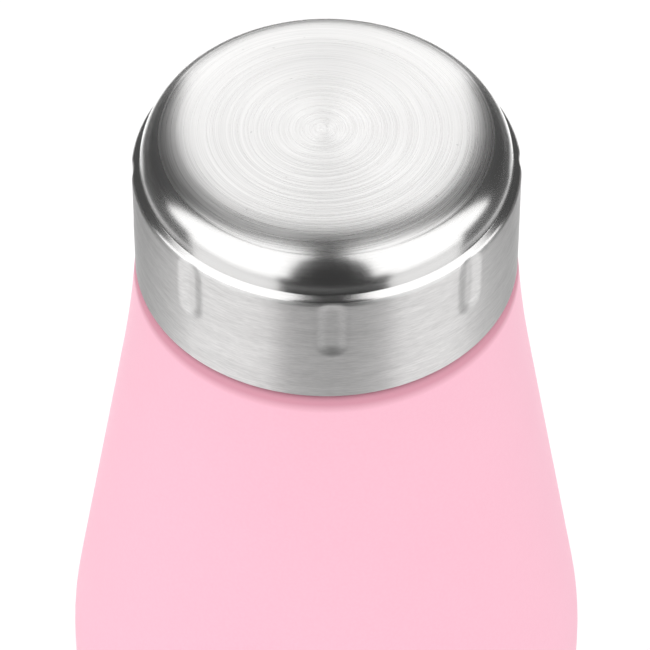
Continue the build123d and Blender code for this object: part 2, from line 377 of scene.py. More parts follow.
def span(tree, value, low, high, to_low, to_high):
    """Maps value from low..high to to_low..to_high, held at the ends."""
    node = tree.nodes.new("ShaderNodeMapRange")
    tree.links.new(value, node.inputs[0])
    for socket, number in zip(node.inputs[1:5], (low, high, to_low, to_high)):
        socket.default_value = number
    return node.outputs[0]


def bump(tree, shader, height, distance, strength=1.0, under=None):
    node = add(tree, "ShaderNodeBump", Height=height, Distance=distance, Strength=strength)
    if under is not None:
        tree.links.new(under, node.inputs["Normal"])
    tree.links.new(node.outputs[0], shader.inputs["Normal"])
    return node.outputs[0]


def split_point(tree):
    parts = add(tree, "ShaderNodeSeparateXYZ", Vector=object_point(tree))
    return parts.outputs[0], parts.outputs[1], parts.outputs[2]


def turned_coordinates(tree, centre_x=0.0):
    """Radius, height and angle about an upright axis at centre_x."""
    x, y, height = split_point(tree)
    x = maths(tree, "SUBTRACT", x, centre_x)
    square = maths(tree, "ADD", maths(tree, "MULTIPLY", x, x), maths(tree, "MULTIPLY", y, y))
    return maths(tree, "SQRT", square), height, maths(tree, "ARCTAN2", y, x)


def shades(colour, contrast):
    """A darker and a lighter version of a colour."""
    return tuple(c * (1 - contrast) for c in colour), tuple(min(1.0, c * (1 + contrast)) for c in colour)


# ======================================= materials ===============================================

COAT_DARK = (0.88, 0.465, 0.575)
COAT_LIGHT = (0.90, 0.485, 0.595)
COAT_RUBBED = (0.93, 0.60, 0.70)
COAT_PAINTED_SHADE = (0.63, 0.275, 0.355)     # painted shade: the coat darkened in a band just under the lid, where the lid shades it


def powder_coat():
    """Matte pink powder coat: even colour, orange peel, faint rubs, scuffs round the foot, and painted
    shade in a band just under the lid.
    """
    material, tree, shader = new_material("powder_coat")
    point = object_point(tree)
    colour = ramp(tree, noise(tree, point, 18, 3), (0.3, COAT_DARK), (0.7, COAT_LIGHT))
    fleck = noise(tree, point, 2600, 1)
    colour = mix_colour(tree, span(tree, fleck, 0.35, 0.65, 0.0, 0.10), colour, COAT_RUBBED)
    height = split_point(tree)[2]
    low = span(tree, height, FOOT_Z, FOOT_Z + 2.2 * MM, 1.0, 0.0)
    scuff = maths(tree, "MULTIPLY", low, span(tree, noise(tree, point, 420, 4, 0.7), 0.52, 0.62, 0.0, 0.8))
    colour = mix_colour(tree, scuff, colour, COAT_RUBBED)
    # painted shade: the coat darkens towards the shoulder's edge, standing in for the shadow the lid casts
    # there
    ring = span(tree, height, SHOULDER[1] - 2.1 * MM, SHOULDER[1] - 0.8 * MM, 0.0, 1.0)
    colour = mix_colour(tree, ring, colour, COAT_PAINTED_SHADE)
    tree.links.new(colour, shader.inputs["Base Color"])
    rubbed = span(tree, noise(tree, point, 60, 4, 0.6), 0.3, 0.75, 0.50, 0.60)
    rough = maths(tree, "SUBTRACT", rubbed, maths(tree, "MULTIPLY", scuff, 0.15))
    tree.links.new(rough, shader.inputs["Roughness"])
    shader.inputs["Specular IOR Level"].default_value = 0.35
    peel = noise(tree, point, 1100, 2, 0.5)
    bump(tree, shader, peel, 0.02 * MM, 0.5)
    return material


def brushed_steel(name, colour=(0.70, 0.695, 0.69), roughness=0.30, anisotropy=0.75, centre_x=0.0,
                  line=0.25 * MM, streak=2.0 * MM, contrast=0.12, relief=0.0014 * MM, broad_share=0.35,
                  disc=False):
    """Steel brushed on a lathe: fine lines round the axis, on walls and on flat faces alike.

    line is the width of a brush line, streak its length at the lid's radius and relief its depth.
    A disc has a few nicks, and the brushing is heavier on its front half.
    """
    material, tree, shader = new_material(name)
    radius, height, angle = turned_coordinates(tree, centre_x)
    stretch = LID_R * line / streak
    place = add(tree, "ShaderNodeCombineXYZ", X=radius,
                Y=maths(tree, "MULTIPLY", maths(tree, "SINE", angle), stretch),
                Z=maths(tree, "MULTIPLY", maths(tree, "COSINE", angle), stretch)).outputs[0]

    def brush(scale, detail, rough):
        node = tree.nodes.new("ShaderNodeTexNoise")
        node.noise_dimensions = "4D"
        for key, value in (("Vector", place), ("W", height), ("Scale", scale), ("Detail", detail),
                           ("Roughness", rough)):
            feed(tree, node.inputs[key], value)
        return node.outputs["Fac"]

    lines = brush(1 / line, 2.0, 0.7)
    broad = brush(0.2 / line, 2.0, 0.5)
    tone = maths(tree, "ADD", maths(tree, "MULTIPLY", lines, 1 - broad_share),
                 maths(tree, "MULTIPLY", broad, broad_share))
    if disc:
        heavy = span(tree, split_point(tree)[1], -9 * MM, -2 * MM, 2.8, 1.0)
        tone = maths(tree, "ADD", maths(tree, "MULTIPLY", maths(tree, "SUBTRACT", tone, 0.5), heavy), 0.5)
    dark, light = shades(colour, contrast)
    paint = ramp(tree, tone, (0.35, dark), (0.65, light))
    if disc:
        spot = span(tree, noise(tree, object_point(tree), 1100, 1, 0.5), 0.785, 0.80, 0.0, 0.45)
        paint = mix_colour(tree, spot, paint, shades(colour, 0.5)[0])
    tree.links.new(paint, shader.inputs["Base Color"])
    shader.inputs["Metallic"].default_value = 1.0
    shader.inputs["Anisotropic"].default_value = anisotropy
    shader.inputs["Anisotropic Rotation"].default_value = 0.25
    tangent = tree.nodes.new("ShaderNodeTangent")
    tangent.direction_type = "RADIAL"
    tangent.axis = "Z"
    tree.links.new(tangent.outputs[0], shader.inputs["Tangent"])
    cloud = noise(tree, object_point(tree), 45, 3, 0.5)
    line_share, cloud_share = 0.08, 0.05
    rough = maths(tree, "ADD", maths(tree, "MULTIPLY", lines, line_share),
                  maths(tree, "MULTIPLY", cloud, cloud_share))
    middle = (line_share + cloud_share) / 2
    tree.links.new(maths(tree, "ADD", rough, roughness - middle), shader.inputs["Roughness"])
    bump(tree, shader, lines, relief)
    return material


def moulded_plastic(name, colour):
    """Moulded polypropylene: spark-eroded grain, flow marks and slightly polished rubbed places."""
    material, tree, shader = new_material(name)
    point = object_point(tree)
    dark, light = shades(colour, 0.03)
    flow = noise(tree, point, 35, 3, 0.5)
    tree.links.new(ramp(tree, flow, (0.35, dark), (0.65, light)), shader.inputs["Base Color"])
    grain = noise(tree, point, 3200, 2, 0.6)
    rubbed = noise(tree, point, 140, 3, 0.6)
    grained = span(tree, grain, 0.3, 0.7, 0.30, 0.42)
    rough = maths(tree, "ADD", grained, span(tree, rubbed, 0.4, 0.7, 0.08, -0.04))
    tree.links.new(rough, shader.inputs["Roughness"])
    shader.inputs["Subsurface Weight"].default_value = 0.12
    shader.inputs["Subsurface Radius"].default_value = (2.2 * MM, 2.0 * MM, 1.8 * MM)
    bump(tree, shader, grain, 0.015 * MM, 0.4)
    return material


def silicone(name, colour, clear=0.0, roughness=0.42, texture=0.5):
    """Silicone rubber: milky depth, faint haze, dust-matted skin and a fine moulded texture."""
    material, tree, shader = new_material(name)
    point = object_point(tree)
    dark, light = shades(colour, 0.04)
    haze = noise(tree, point, 90, 4, 0.6)
    tree.links.new(ramp(tree, haze, (0.3, dark), (0.7, light)), shader.inputs["Base Color"])
    skin = noise(tree, point, 420, 4, 0.65)
    rough = span(tree, skin, 0.3, 0.7, roughness - 0.07, roughness + 0.09)
    tree.links.new(rough, shader.inputs["Roughness"])
    shader.inputs["IOR"].default_value = 1.41
    shader.inputs["Transmission Weight"].default_value = clear
    shader.inputs["Subsurface Weight"].default_value = 0.35
    shader.inputs["Subsurface Radius"].default_value = (3.5 * MM, 3.0 * MM, 2.6 * MM)
    shader.inputs["Sheen Weight"].default_value = 0.12
    shader.inputs["Sheen Roughness"].default_value = 0.5
    coarse = bump(tree, shader, noise(tree, point, 260, 2, 0.5), 0.05 * MM, texture * 0.5)
    bump(tree, shader, noise(tree, point, 2400, 2, 0.6), 0.012 * MM, texture, coarse)
    return material


def copper_wrap():
    """Thin copper foil, creased as it was wrapped, with the start of a tarnish."""
    material, tree, shader = new_material("copper")
    point = object_point(tree)
    tarnish = noise(tree, point, 70, 5, 0.65)
    brown, red, bright = (0.62, 0.28, 0.16), (0.83, 0.45, 0.30), (0.90, 0.56, 0.40)
    colour = ramp(tree, tarnish, (0.35, brown), (0.55, red), (0.75, bright))
    tree.links.new(colour, shader.inputs["Base Color"])
    shader.inputs["Metallic"].default_value = 1.0
    tree.links.new(span(tree, tarnish, 0.3, 0.7, 0.42, 0.22), shader.inputs["Roughness"])
    crease = add(tree, "ShaderNodeTexVoronoi", Vector=point, Scale=160.0).outputs["Distance"]
    bump(tree, shader, crease, 0.3 * MM, 0.6)
    return material


def solder_glass():
    """Dark glassy solder with small bubbles."""
    material, tree, shader = new_material("solder_glass")
    point = object_point(tree)
    cloud = noise(tree, point, 600, 4, 0.6)
    colour = ramp(tree, cloud, (0.35, (0.05, 0.035, 0.02)), (0.65, (0.12, 0.085, 0.05)))
    tree.links.new(colour, shader.inputs["Base Color"])
    tree.links.new(span(tree, cloud, 0.3, 0.7, 0.06, 0.18), shader.inputs["Roughness"])
    bubbles = add(tree, "ShaderNodeTexVoronoi", Vector=point, Scale=2200.0).outputs["Distance"]
    bump(tree, shader, bubbles, 0.06 * MM, 0.4)
    return material


def getter_alloy():
    """Pressed and sintered metal powder."""
    material, tree, shader = new_material("getter_alloy")
    point = object_point(tree)
    grain = noise(tree, point, 4200, 3, 0.7)
    colour = ramp(tree, grain, (0.3, (0.03, 0.03, 0.035)), (0.7, (0.10, 0.10, 0.11)))
    tree.links.new(colour, shader.inputs["Base Color"])
    shader.inputs["Metallic"].default_value = 0.8
    tree.links.new(span(tree, grain, 0.3, 0.7, 0.75, 0.5), shader.inputs["Roughness"])
    bump(tree, shader, grain, 0.06 * MM, 0.8)
    return material


def foam():
    """White closed-cell foam."""
    material, tree, shader = new_material("foam")
    point = object_point(tree)
    cells = add(tree, "ShaderNodeTexVoronoi", Vector=point, Scale=1800.0).outputs["Distance"]
    colour = ramp(tree, cells, (0.0, (0.86, 0.86, 0.84)), (0.6, (0.70, 0.70, 0.68)))
    tree.links.new(colour, shader.inputs["Base Color"])
    tree.links.new(span(tree, cells, 0.0, 0.6, 0.7, 0.95), shader.inputs["Roughness"])
    bump(tree, shader, cells, -0.2 * MM, 0.7)
    return material


# ======================================= lid ======================================================

def flute_depth(angle, height):
    """How far the pressed flutes push the skirt in, at one place on it."""
    pitch = TAU / FLUTES
    front = -TAU / 4            # one flute faces the front
    off = (angle - front + pitch / 2) % pitch - pitch / 2
    foot = FLUTE_FOOT_H + FLUTE_HALF_W
    beyond = max(foot - height, height - FLUTE_TOP_H, 0.0)
    away = math.hypot(off * LID_R, beyond)
    return FLUTE_DEPTH * smoothstep((FLUTE_HALF_W - away) / (FLUTE_HALF_W - FLUTE_FLOOR_HALF_W))


def lid_angles():
    """Angles round the lid, close together at each flute."""
    near = [step * 0.5 for step in range(-12, 13)]
    far = [8, 10.5, 13.5, 17, 20]
    sector = [-22.5] + [-a for a in reversed(far)] + near + far
    return [math.radians(flute * 360 / FLUTES - 90 + a) for flute in range(FLUTES) for a in sector]


def crown_points(inset):
    """The crown, from its leaning side to the turned line round the disc, moved in by inset."""
    top = math.radians(CROWN_SLOPE)
    side = math.pi / 2 - math.radians(CROWN_DRAFT)
    run = CREASE_R - RING_R
    drop = RING_H - SKIRT_H - CREASE_H
    across = math.sin(side) - math.sin(top)
    down = math.cos(top) - math.cos(side)
    radius = (run - drop / math.tan(side)) / (across - down / math.tan(side))
    centre = (RING_R - radius * math.sin(top), LID_FOOT + RING_H - radius * math.cos(top))
    steps = 30
    points = []
    for i in range(steps + 1):
        slope = side + (top - side) * i / steps
        arm = radius - inset
        points.append((centre[0] + arm * math.sin(slope), centre[1] + arm * math.cos(slope)))
    return points


def lid_outline(inset):
    """The lid's outer outline, from its lower edge to the middle of its top, moved in by inset."""
    ledge_z = LID_FOOT + SKIRT_H - inset
    crown = crown_points(inset)
    wall_r = LID_R - inset
    crease = (CREASE_R - inset, ledge_z + CREASE_H)
    corners = [(wall_r, LID_FOOT), (wall_r, ledge_z), crease, crown[0]]
    skirt = rounded(corners, [LEDGE_EDGE_R, CREASE_COVE_R], math.radians(8))
    ring_z = LID_FOOT + RING_H - inset
    disc_r = RING_R - RING_GROOVE_W
    fall = math.tan(math.radians(CROWN_SLOPE))
    rise = fall * RING_GROOVE_W
    groove = [(RING_R - RING_GROOVE_W / 2, ring_z + rise / 2 - RING_GROOVE_D), (disc_r, ring_z + rise)]
    drop = fall * (disc_r - DISC_BEND_R) / DISC_ROLL_POWER
    dome = LID_TOP - LID_FOOT - RING_H - drop - rise
    steps = 44
    disc = []
    for i in range(1, steps + 1):
        r = disc_r * (1 - i / steps)
        roll = max(0.0, (r - DISC_BEND_R) / (disc_r - DISC_BEND_R))
        disc.append((r, LID_TOP - inset - dome * (r / disc_r) ** 2 - drop * roll**DISC_ROLL_POWER))
    return skirt[:-1] + crown + groove + disc


def skirt_rows(points):
    """Adds rows to the skirt where the flutes start, so that their ends are round."""
    base = points[0]
    fine, fine_count, coarse_count = 0.15 * MM, 20, 12
    flute_z = LID_FOOT + FLUTE_FOOT_H
    rows = [flute_z + (i - 2) * fine for i in range(fine_count)]
    coarse_z = flute_z + fine_count * fine
    top = points[1][1]
    rows += [coarse_z + i * (top - coarse_z) / coarse_count for i in range(coarse_count)]
    return [base] + [(base[0], z) for z in rows] + points[1:]


def lid_cover():
    """Pressed steel lid skin with its fluted skirt: brushed skirt, polished crown and turned disc."""
    outer = skirt_rows(lid_outline(0))
    inner = skirt_rows(lid_outline(SHEET))
    lift = 0.1 * MM             # the hem's rounding starts this far up both skins
    inner[0] = (inner[0][0], inner[0][1] + lift)
    outer[0] = (outer[0][0], outer[0][1] + lift)
    hem = [(LID_R - SHEET * 0.75, LID_FOOT), (LID_R - SHEET * 0.25, LID_FOOT)]

    def press(angle, r, z):
        height = z - LID_FOOT
        if height > SKIRT_H + CREASE_H * 0.9:
            return r, z
        # the flutes run out across the ledge, towards the crease
        share = smoothstep((r - CREASE_R + 2 * SHEET) / (LID_R - CREASE_R))
        return r - flute_depth(angle, height) * share, z

    outline = list(reversed(inner)) + hem + outer
    piece = lathe("lid_cover_skin", outline, lid_angles(), press, closed=False, smooth=22)
    centre_x = -0.6 * MM        # the disc was turned a little off the lid's axis
    settle(
        piece, "lid", "lid_cover", "lid_steel",
        brushed_steel("lid_steel", (0.66, 0.655, 0.65), 0.42, 0.85, centre_x, 0.16 * MM, 1.6 * MM, 0.13),
        brushed_steel("crown_steel", (0.70, 0.695, 0.69), 0.24, 0.7, centre_x, 0.16 * MM, 14 * MM, 0.05),
        brushed_steel("disc_steel", (0.70, 0.695, 0.69), 0.28, 0.8, centre_x, 0.12 * MM, 34 * MM, 0.11,
                      relief=0.006 * MM, broad_share=0.12, disc=True))
    for face in piece.data.polygons:
        out = math.hypot(face.center.x, face.center.y)
        if face.center.z > LID_FOOT + SKIRT_H:
            face.material_index = 1 if out > RING_R else 2


def lid_liner():
    """Moulded inner lid: threaded wall keyed to the flutes, and the plate that carries the gasket."""
    plate_z = LID_LINER_TOP_Z - LID_PLATE_H
    outer = rounded(
        [(LID_LINER_WALL_R, LID_LINER_FOOT_Z), (LID_LINER_R, LID_LINER_FOOT_Z), (LID_LINER_R, LINER_STEP_Z),
         (LINER_CROWN_R, LINER_STEP_Z), (LINER_CROWN_R, LID_LINER_TOP_Z), (0, LID_LINER_TOP_Z)],
        [0.25 * MM, 0.3 * MM, 0, 0.2 * MM], math.radians(30))
    corner = 0.4 * MM
    wall_top = (LID_LINER_WALL_R, plate_z - corner)
    wall = spaced([wall_top, (LID_LINER_WALL_R, LID_LINER_FOOT_Z)], THREAD_ROW)
    ceiling = [(0, plate_z), (LID_LINER_WALL_R - corner, plate_z)]

    def form(angle, r, z):
        if abs(r - LID_LINER_WALL_R) < 1e-6:
            return r - rib_height(angle, z, LID_THREAD_Z, HALF_SPACING), z
        if r > LID_LINER_WALL_R:
            return r - flute_depth(angle, z - LID_FOOT), z
        return r, z

    piece = lathe("lid_liner_body", ceiling + wall[:-1] + outer, even_angles(288), form, closed=False)
    plastic = moulded_plastic("liner_plastic", (0.60, 0.60, 0.59))
    settle(piece, "lid", "lid_liner", "liner_plastic", plastic)


def lid_inner_plate(steel):
    """Thin steel disc with a shallow pressed dish."""
    r, low, high = PLATE_R, PLATE_Z, PLATE_TOP_Z
    edge = 0.12 * MM
    dish_r = 0.82 * r
    dish = 0.12 * MM
    dish_slope_w = 0.5 * MM
    dish_bend_r = 0.8 * MM
    outline = rounded(
        [(0, low + dish), (dish_r, low + dish), (dish_r + dish_slope_w, low), (r - edge, low),
         (r, low + edge), (r, high - edge), (r - edge, high), (0, high)],
        [dish_bend_r, dish_bend_r, 0, 0, 0, 0])
    piece = lathe("lid_inner_plate_disc", outline, even_angles(160), closed=False)
    settle(piece, "lid", "lid_inner_plate", "cover_steel", steel)


def lid_gasket():
    """Flat silicone ring with two sealing beads under it."""
    low, high = GASKET_Z, GASKET_TOP_Z
    bead = 0.3 * MM
    bead_w = 0.9 * MM
    gap = (GASKET_R - GASKET_IN_R - 2 * bead_w) / 3
    edge = 0.25 * MM
    under = [(GASKET_IN_R, high), (GASKET_IN_R, low + bead)]
    for i in range(2):
        start = GASKET_IN_R + gap + i * (gap + bead_w)
        for t in (0, 0.2, 0.4, 0.5, 0.6, 0.8, 1):
            under.append((start + bead_w * t, low + bead * (2 * t - 1) ** 2))
    top = rounded([(GASKET_R, low + bead), (GASKET_R, high), (GASKET_IN_R, high)], [edge])
    piece = lathe("lid_gasket_ring", under + top[:-1], even_angles(160), smooth=50)
    rubber = silicone("gasket_silicone", (0.74, 0.74, 0.72))
    settle(piece, "gasket", "lid_gasket", "gasket_silicone", rubber)


# ======================================= collar and teat ============================================

def collar(plastic):
    """Screw collar with a thread inside for the neck, one outside for the lid, and a grip band."""
    grip_fade = 0.7 * MM
    lip_z = COLLAR_TOP_Z - COLLAR_LIP_H
    edge = 0.3 * MM
    wall_foot_z = COLLAR_FOOT_Z + edge
    wall_top_z = COLLAR_TOP_Z - COLLAR_EDGE_R
    outside = spaced([(COLLAR_OUT_R, wall_foot_z), (COLLAR_OUT_R, wall_top_z)], THREAD_ROW)
    top = rounded(
        [(COLLAR_OUT_R, COLLAR_TOP_Z - 1 * MM), (COLLAR_OUT_R, COLLAR_TOP_Z), (COLLAR_LIP_R, COLLAR_TOP_Z),
         (COLLAR_LIP_R, lip_z), (COLLAR_IN_R, lip_z)],
        [COLLAR_EDGE_R, 0.5 * MM, 0.2 * MM], math.radians(15))
    inside = spaced([(COLLAR_IN_R, lip_z), (COLLAR_IN_R, wall_foot_z)], THREAD_ROW)
    foot = [(COLLAR_IN_R + edge, COLLAR_FOOT_Z), (COLLAR_OUT_R - edge, COLLAR_FOOT_Z)]

    def form(angle, r, z):
        if r > COLLAR_OUT_R - 0.45 * MM and z > COLLAR_FOOT_Z + edge / 2:
            pitch = TAU / GRIPS
            off = abs((angle + pitch / 2) % pitch - pitch / 2) / (pitch / 2)
            rise = smoothstep((z - GRIP_FOOT_Z) / grip_fade)
            # full depth over the middle of each dent and none on the ridges between them
            dent = GRIP_DEPTH * rise * smoothstep(1.25 - 1.6 * off)
            if z > wall_top_z:
                dent *= smoothstep((r - COLLAR_OUT_R + COLLAR_EDGE_R) / COLLAR_EDGE_R)
            return r - dent + rib_height(angle, z, LID_THREAD_Z, 0), z
        if abs(r - COLLAR_IN_R) < 1e-6:
            return r - rib_height(angle, z, NECK_THREAD_Z, HALF_SPACING), z
        return r, z

    piece = lathe("collar_ring", outside + top[1:-1] + inside + foot, even_angles(GRIPS * 10), form)
    settle(piece, "collar", "collar", "white_plastic", plastic)


def sealing_disc(plastic):
    """Thin travel disc with a stepped rim and two stiffening rings."""
    low, high, r = DISC_Z, DISC_TOP_Z, DISC_R
    panel = high - 0.25 * MM
    step_r = COLLAR_LIP_R - 0.9 * MM
    top = [(r, low), (r, high), (step_r, high), (step_r - 0.3 * MM, panel)]
    radii = [0.3 * MM, 0.2 * MM, 0.2 * MM]
    for share in (0.72, 0.40):
        middle = step_r * share
        top += [(middle + 0.9 * MM, panel), (middle + 0.5 * MM, high), (middle - 0.5 * MM, high),
                (middle - 0.9 * MM, panel)]
        radii += [0.2 * MM, 0.25 * MM, 0.25 * MM, 0.2 * MM]
    gate_r = 1.2 * MM
    top += [(gate_r, panel), (gate_r * 0.7, panel + 0.15 * MM), (0, panel + 0.15 * MM)]
    radii += [0.15 * MM, 0.15 * MM]
    outline = [(0, low)] + rounded(top, radii, math.radians(12))
    piece = lathe("sealing_disc_plate", outline, even_angles(160), closed=False)
    settle(piece, "stored_teat", "sealing_disc", "white_plastic", plastic)


def teat():
    """Silicone teat, stored upside down: petalled dome, ringed nipple and a flat flange."""
    flange_z = FLANGE_TOP_Z - FLANGE_H
    tip = [(TEAT_HOLE_R, TEAT_TIP_Z), (TEAT_TIP_R, TEAT_TIP_Z)]
    outer = rounded(tip + [TEAT_NIPPLE, TEAT_SHOULDER, (TEAT_SHOULDER[0], flange_z)],
                    [TEAT_TIP_EDGE_R, TEAT_NIPPLE_COVE_R, TEAT_SHOULDER_R])
    outer = spaced(outer, 0.4 * MM)
    inner = beside(outer, TEAT_WALL)
    inner[0] = (TEAT_HOLE_R, inner[0][1])
    inner[-1] = (TEAT_SHOULDER[0] - TEAT_WALL, FLANGE_TOP_Z)
    edge = 0.35 * MM
    flange = rounded([outer[-1], (FLANGE_R, flange_z), (FLANGE_R, FLANGE_TOP_Z), inner[-1]], [edge, edge])
    rings_top = TEAT_RINGS_Z + TEAT_RINGS * TEAT_RING_PITCH
    petal_in_r = TEAT_NIPPLE[0] + 1.2 * MM
    petal_out_r = TEAT_SHOULDER[0] - 0.6 * MM

    def mould(angle, r, z):
        if TEAT_RINGS_Z < z < rings_top and r < petal_in_r:
            phase = (z - TEAT_RINGS_Z) / TEAT_RING_PITCH
            r += TEAT_RING_H * (0.5 - 0.5 * math.cos(TAU * phase))
        across = (r - petal_in_r) / (petal_out_r - petal_in_r)
        if 0 < across < 1 and z < flange_z - 6 * MM:
            wave = 0.5 + 0.5 * math.cos(TEAT_PETALS * angle)
            z += TEAT_PETAL_H * wave * math.sin(math.pi * across) ** 2
        return r, z

    piece = lathe("teat_skin", outer[:-1] + flange[:-1] + list(reversed(inner)), even_angles(192), mould)
    settle(piece, "stored_teat", "teat", "teat_silicone",
           silicone("teat_silicone", (0.93, 0.92, 0.89), clear=0.45, roughness=0.34, texture=0.08))


# ======================================= bottle =====================================================

def outer_shell(coat):
    """Painted body sheet; its neck is bare steel with a rolled thread."""
    def outline(t):
        return rounded(
            [(BODY_R - t, SEAM), (BODY_R - t, HIP_Z), (BEND[0] - t, BEND[1]),
             (SHOULDER[0] - t, SHOULDER[1] - t), (NECK_R - t, SHOULDER[1] - t), (NECK_R - t, NECK_TOP_Z)],
            [HIP_BEND_R, SHOULDER_BEND_R, SHOULDER_EDGE_R - t, NECK_COVE_R + t], math.radians(2))

    low = spaced(outline(0)[:-1], 3 * MM)
    neck = spaced([outline(0)[-2], outline(0)[-1]], THREAD_ROW)[1:]
    inside = list(reversed(outline(SHELL_WALL)))

    def roll(angle, r, z):
        if abs(r - NECK_R) < 1e-6:
            r += rib_height(angle, z, NECK_THREAD_Z, 0)
        return r, z

    piece = lathe("outer_shell_skin", low + neck + inside, even_angles(240), roll)
    settle(piece, "bottle", "outer_shell", "powder_coat", coat, brushed_steel("neck_steel"))
    bare_z = SHOULDER[1] + NECK_COVE_R
    for face in piece.data.polygons:
        if face.center.z > bare_z:
            face.material_index = 1


def shell_base(coat):
    """Painted bottom cup with its rounded edge, foot ring and recess."""
    wall = SHELL_WALL
    outer = rounded(
        [(EVACUATION_HOLE_R, RECESS_Z), (RECESS_R, RECESS_Z), (RECESS_R, FOOT_Z), (BODY_R, FOOT_Z),
         (BODY_R, SEAM)], [0.4 * MM, 0.3 * MM, FOOT_EDGE_R])
    inner = rounded(
        [(BODY_R - wall, SEAM), (BODY_R - wall, FOOT_Z + wall), (RECESS_R + wall, FOOT_Z + wall),
         (RECESS_R + wall, RECESS_Z + wall), (EVACUATION_HOLE_R, RECESS_Z + wall)],
        [FOOT_EDGE_R - wall, 0.3 * MM, 0.4 * MM])
    piece = lathe("shell_base_cup", outer + inner, even_angles(240))
    settle(piece, "bottle", "shell_base", "powder_coat", coat)


def inner_liner():
    """Drawn inner flask with its polished rim."""
    outer = rounded(
        [(0, LINER_FOOT_Z), (LINER_R, LINER_FOOT_Z), (LINER_R, HIP_Z), LINER_BEND, LINER_NECK,
         (LINER_NECK[0], NECK_TOP_Z)], [LINER_FOOT_EDGE_R, HIP_BEND_R, 20 * MM, 10 * MM], math.radians(2))
    inner = beside(outer, LINER_WALL)
    rim = rounded(
        [(LINER_NECK[0], NECK_TOP_Z), (NECK_R, NECK_TOP_Z), (NECK_R, MOUTH_Z),
         (LINER_NECK[0] - LINER_WALL, MOUTH_Z), inner[-1]],
        [0.1 * MM, RIM_EDGE_R, RIM_EDGE_R], math.radians(15))
    outline = spaced(outer, 4 * MM)[:-1] + rim + list(reversed(spaced(inner, 4 * MM)))[1:]
    piece = lathe("inner_liner_flask", outline, even_angles(200), closed=False)
    steel = brushed_steel("liner_steel", (0.66, 0.655, 0.65), 0.34, 0.6, 0.0, 0.3 * MM, 6 * MM, 0.07)
    settle(piece, "bottle", "inner_liner", "liner_steel", steel)


def base_cover(steel):
    """Spun steel disc with an upturned rim, pressed into the recess."""
    outer = rounded([(0, COVER_Z), (COVER_R, COVER_Z), (COVER_R, COVER_RIM_Z)], [COVER_EDGE_R])
    in_r = COVER_R - COVER_WALL
    in_z = COVER_Z + COVER_WALL
    inner = rounded([(in_r, COVER_RIM_Z), (in_r, in_z), (0, in_z)], [COVER_EDGE_R - COVER_WALL])
    piece = lathe("base_cover_disc", outer + inner, even_angles(200), closed=False)
    settle(piece, "bottle", "base_cover", "cover_steel", steel)


def base_pad():
    """Silicone pad with a standing ring and a tread of broken rings inside it."""
    corners = [(PAD_RING_IN_R, PAD_Z), (PAD_R, PAD_Z), (PAD_R, PAD_TOP_Z), (0, PAD_TOP_Z)]
    side = rounded(corners, [PAD_EDGE_R, 0])
    under = spaced([(0, PAD_Z), (PAD_RING_IN_R, PAD_Z)], 0.2 * MM)

    def tread(angle, r, z):
        if z > PAD_Z + 1e-6 or r > PAD_RING_IN_R:
            return r, z
        if r > PAD_TREAD_OUT_R:
            return r, z + PAD_GROOVE * smoothstep((PAD_RING_IN_R - r) / PAD_RING_FLANK_W)
        if r < PAD_TREAD_IN_R:
            fall = smoothstep((PAD_TREAD_IN_R - r) / PAD_TREAD_FLANK_W)
            return r, z + PAD_GROOVE * PAD_MIDDLE_SHARE * fall
        place = (r - PAD_TREAD_IN_R) % PAD_RIB_PITCH / PAD_RIB_PITCH
        ring = smoothstep((abs(place - 0.5) - PAD_RIB_HALF_SHARE) / PAD_RIB_FLANK_SHARE)
        spacing = TAU / PAD_SPOKES
        off = abs((angle + r * PAD_SPOKE_SWEEP + spacing / 2) % spacing - spacing / 2) * r
        spoke = smoothstep((PAD_SPOKE_W - off) / PAD_TREAD_FLANK_W)
        return r, z + PAD_GROOVE * max(ring, spoke)

    piece = lathe("base_pad_tread", under[:-1] + side, even_angles(360), tread, closed=False, smooth=50)
    settle(piece, "bottle", "base_pad", "pad_silicone",
           silicone("pad_silicone", (0.80, 0.42, 0.50), roughness=0.55, texture=0.7))


def paint(name, material):
    """Gives a carried-over CAD node its material."""
    data = nodes[name].data
    data.materials.clear()
    data.materials.append(material)
    data.shade_smooth()
    data.set_sharp_from_angle(angle=math.radians(30))


# ======================================= studio ==================================================

STUDIO_MIDDLE = Vector((0, 0, LID_FOOT))    # what the camera, the cards and the lights stand round


def outward(azimuth, elevation):
    """Direction out from the axis, from angles in degrees. Azimuth 0 is the camera's side."""
    a, e = math.radians(CAMERA_AZIMUTH + azimuth), math.radians(elevation)
    return Vector((math.sin(a) * math.cos(e), -math.cos(a) * math.cos(e), math.sin(e)))


def glow(name, verts, faces, value):
    """Staged object that shines evenly, seen only by the camera and in reflections."""
    obj = new_object(name, verts, faces)
    material = bpy.data.materials.new(name)
    material.use_nodes = True
    tree = material.node_tree
    tree.nodes.clear()
    out = tree.nodes.new("ShaderNodeOutputMaterial")
    light = add(tree, "ShaderNodeEmission", Color=(value, value, value))
    tree.links.new(light.outputs[0], out.inputs[0])
    obj.data.materials.append(material)
    obj.visible_diffuse = False
    obj.visible_transmission = False
    obj.visible_shadow = False
    return obj


def patch(name, azimuths, elevations, distance, value):
    """Piece of a sphere round the bottle, seen only in reflections."""
    steps = 24
    verts, faces = [], []
    for j in range(steps + 1):
        elevation = elevations[0] + (elevations[1] - elevations[0]) * j / steps
        for i in range(steps + 1):
            azimuth = azimuths[0] + (azimuths[1] - azimuths[0]) * i / steps
            verts.append(STUDIO_MIDDLE + outward(azimuth, elevation) * distance)
    row = steps + 1
    for j in range(steps):
        for i in range(steps):
            k = j * row + i
            faces.append((k, k + 1, k + 1 + row, k + row))
    glow(name, verts, faces, value).visible_camera = False


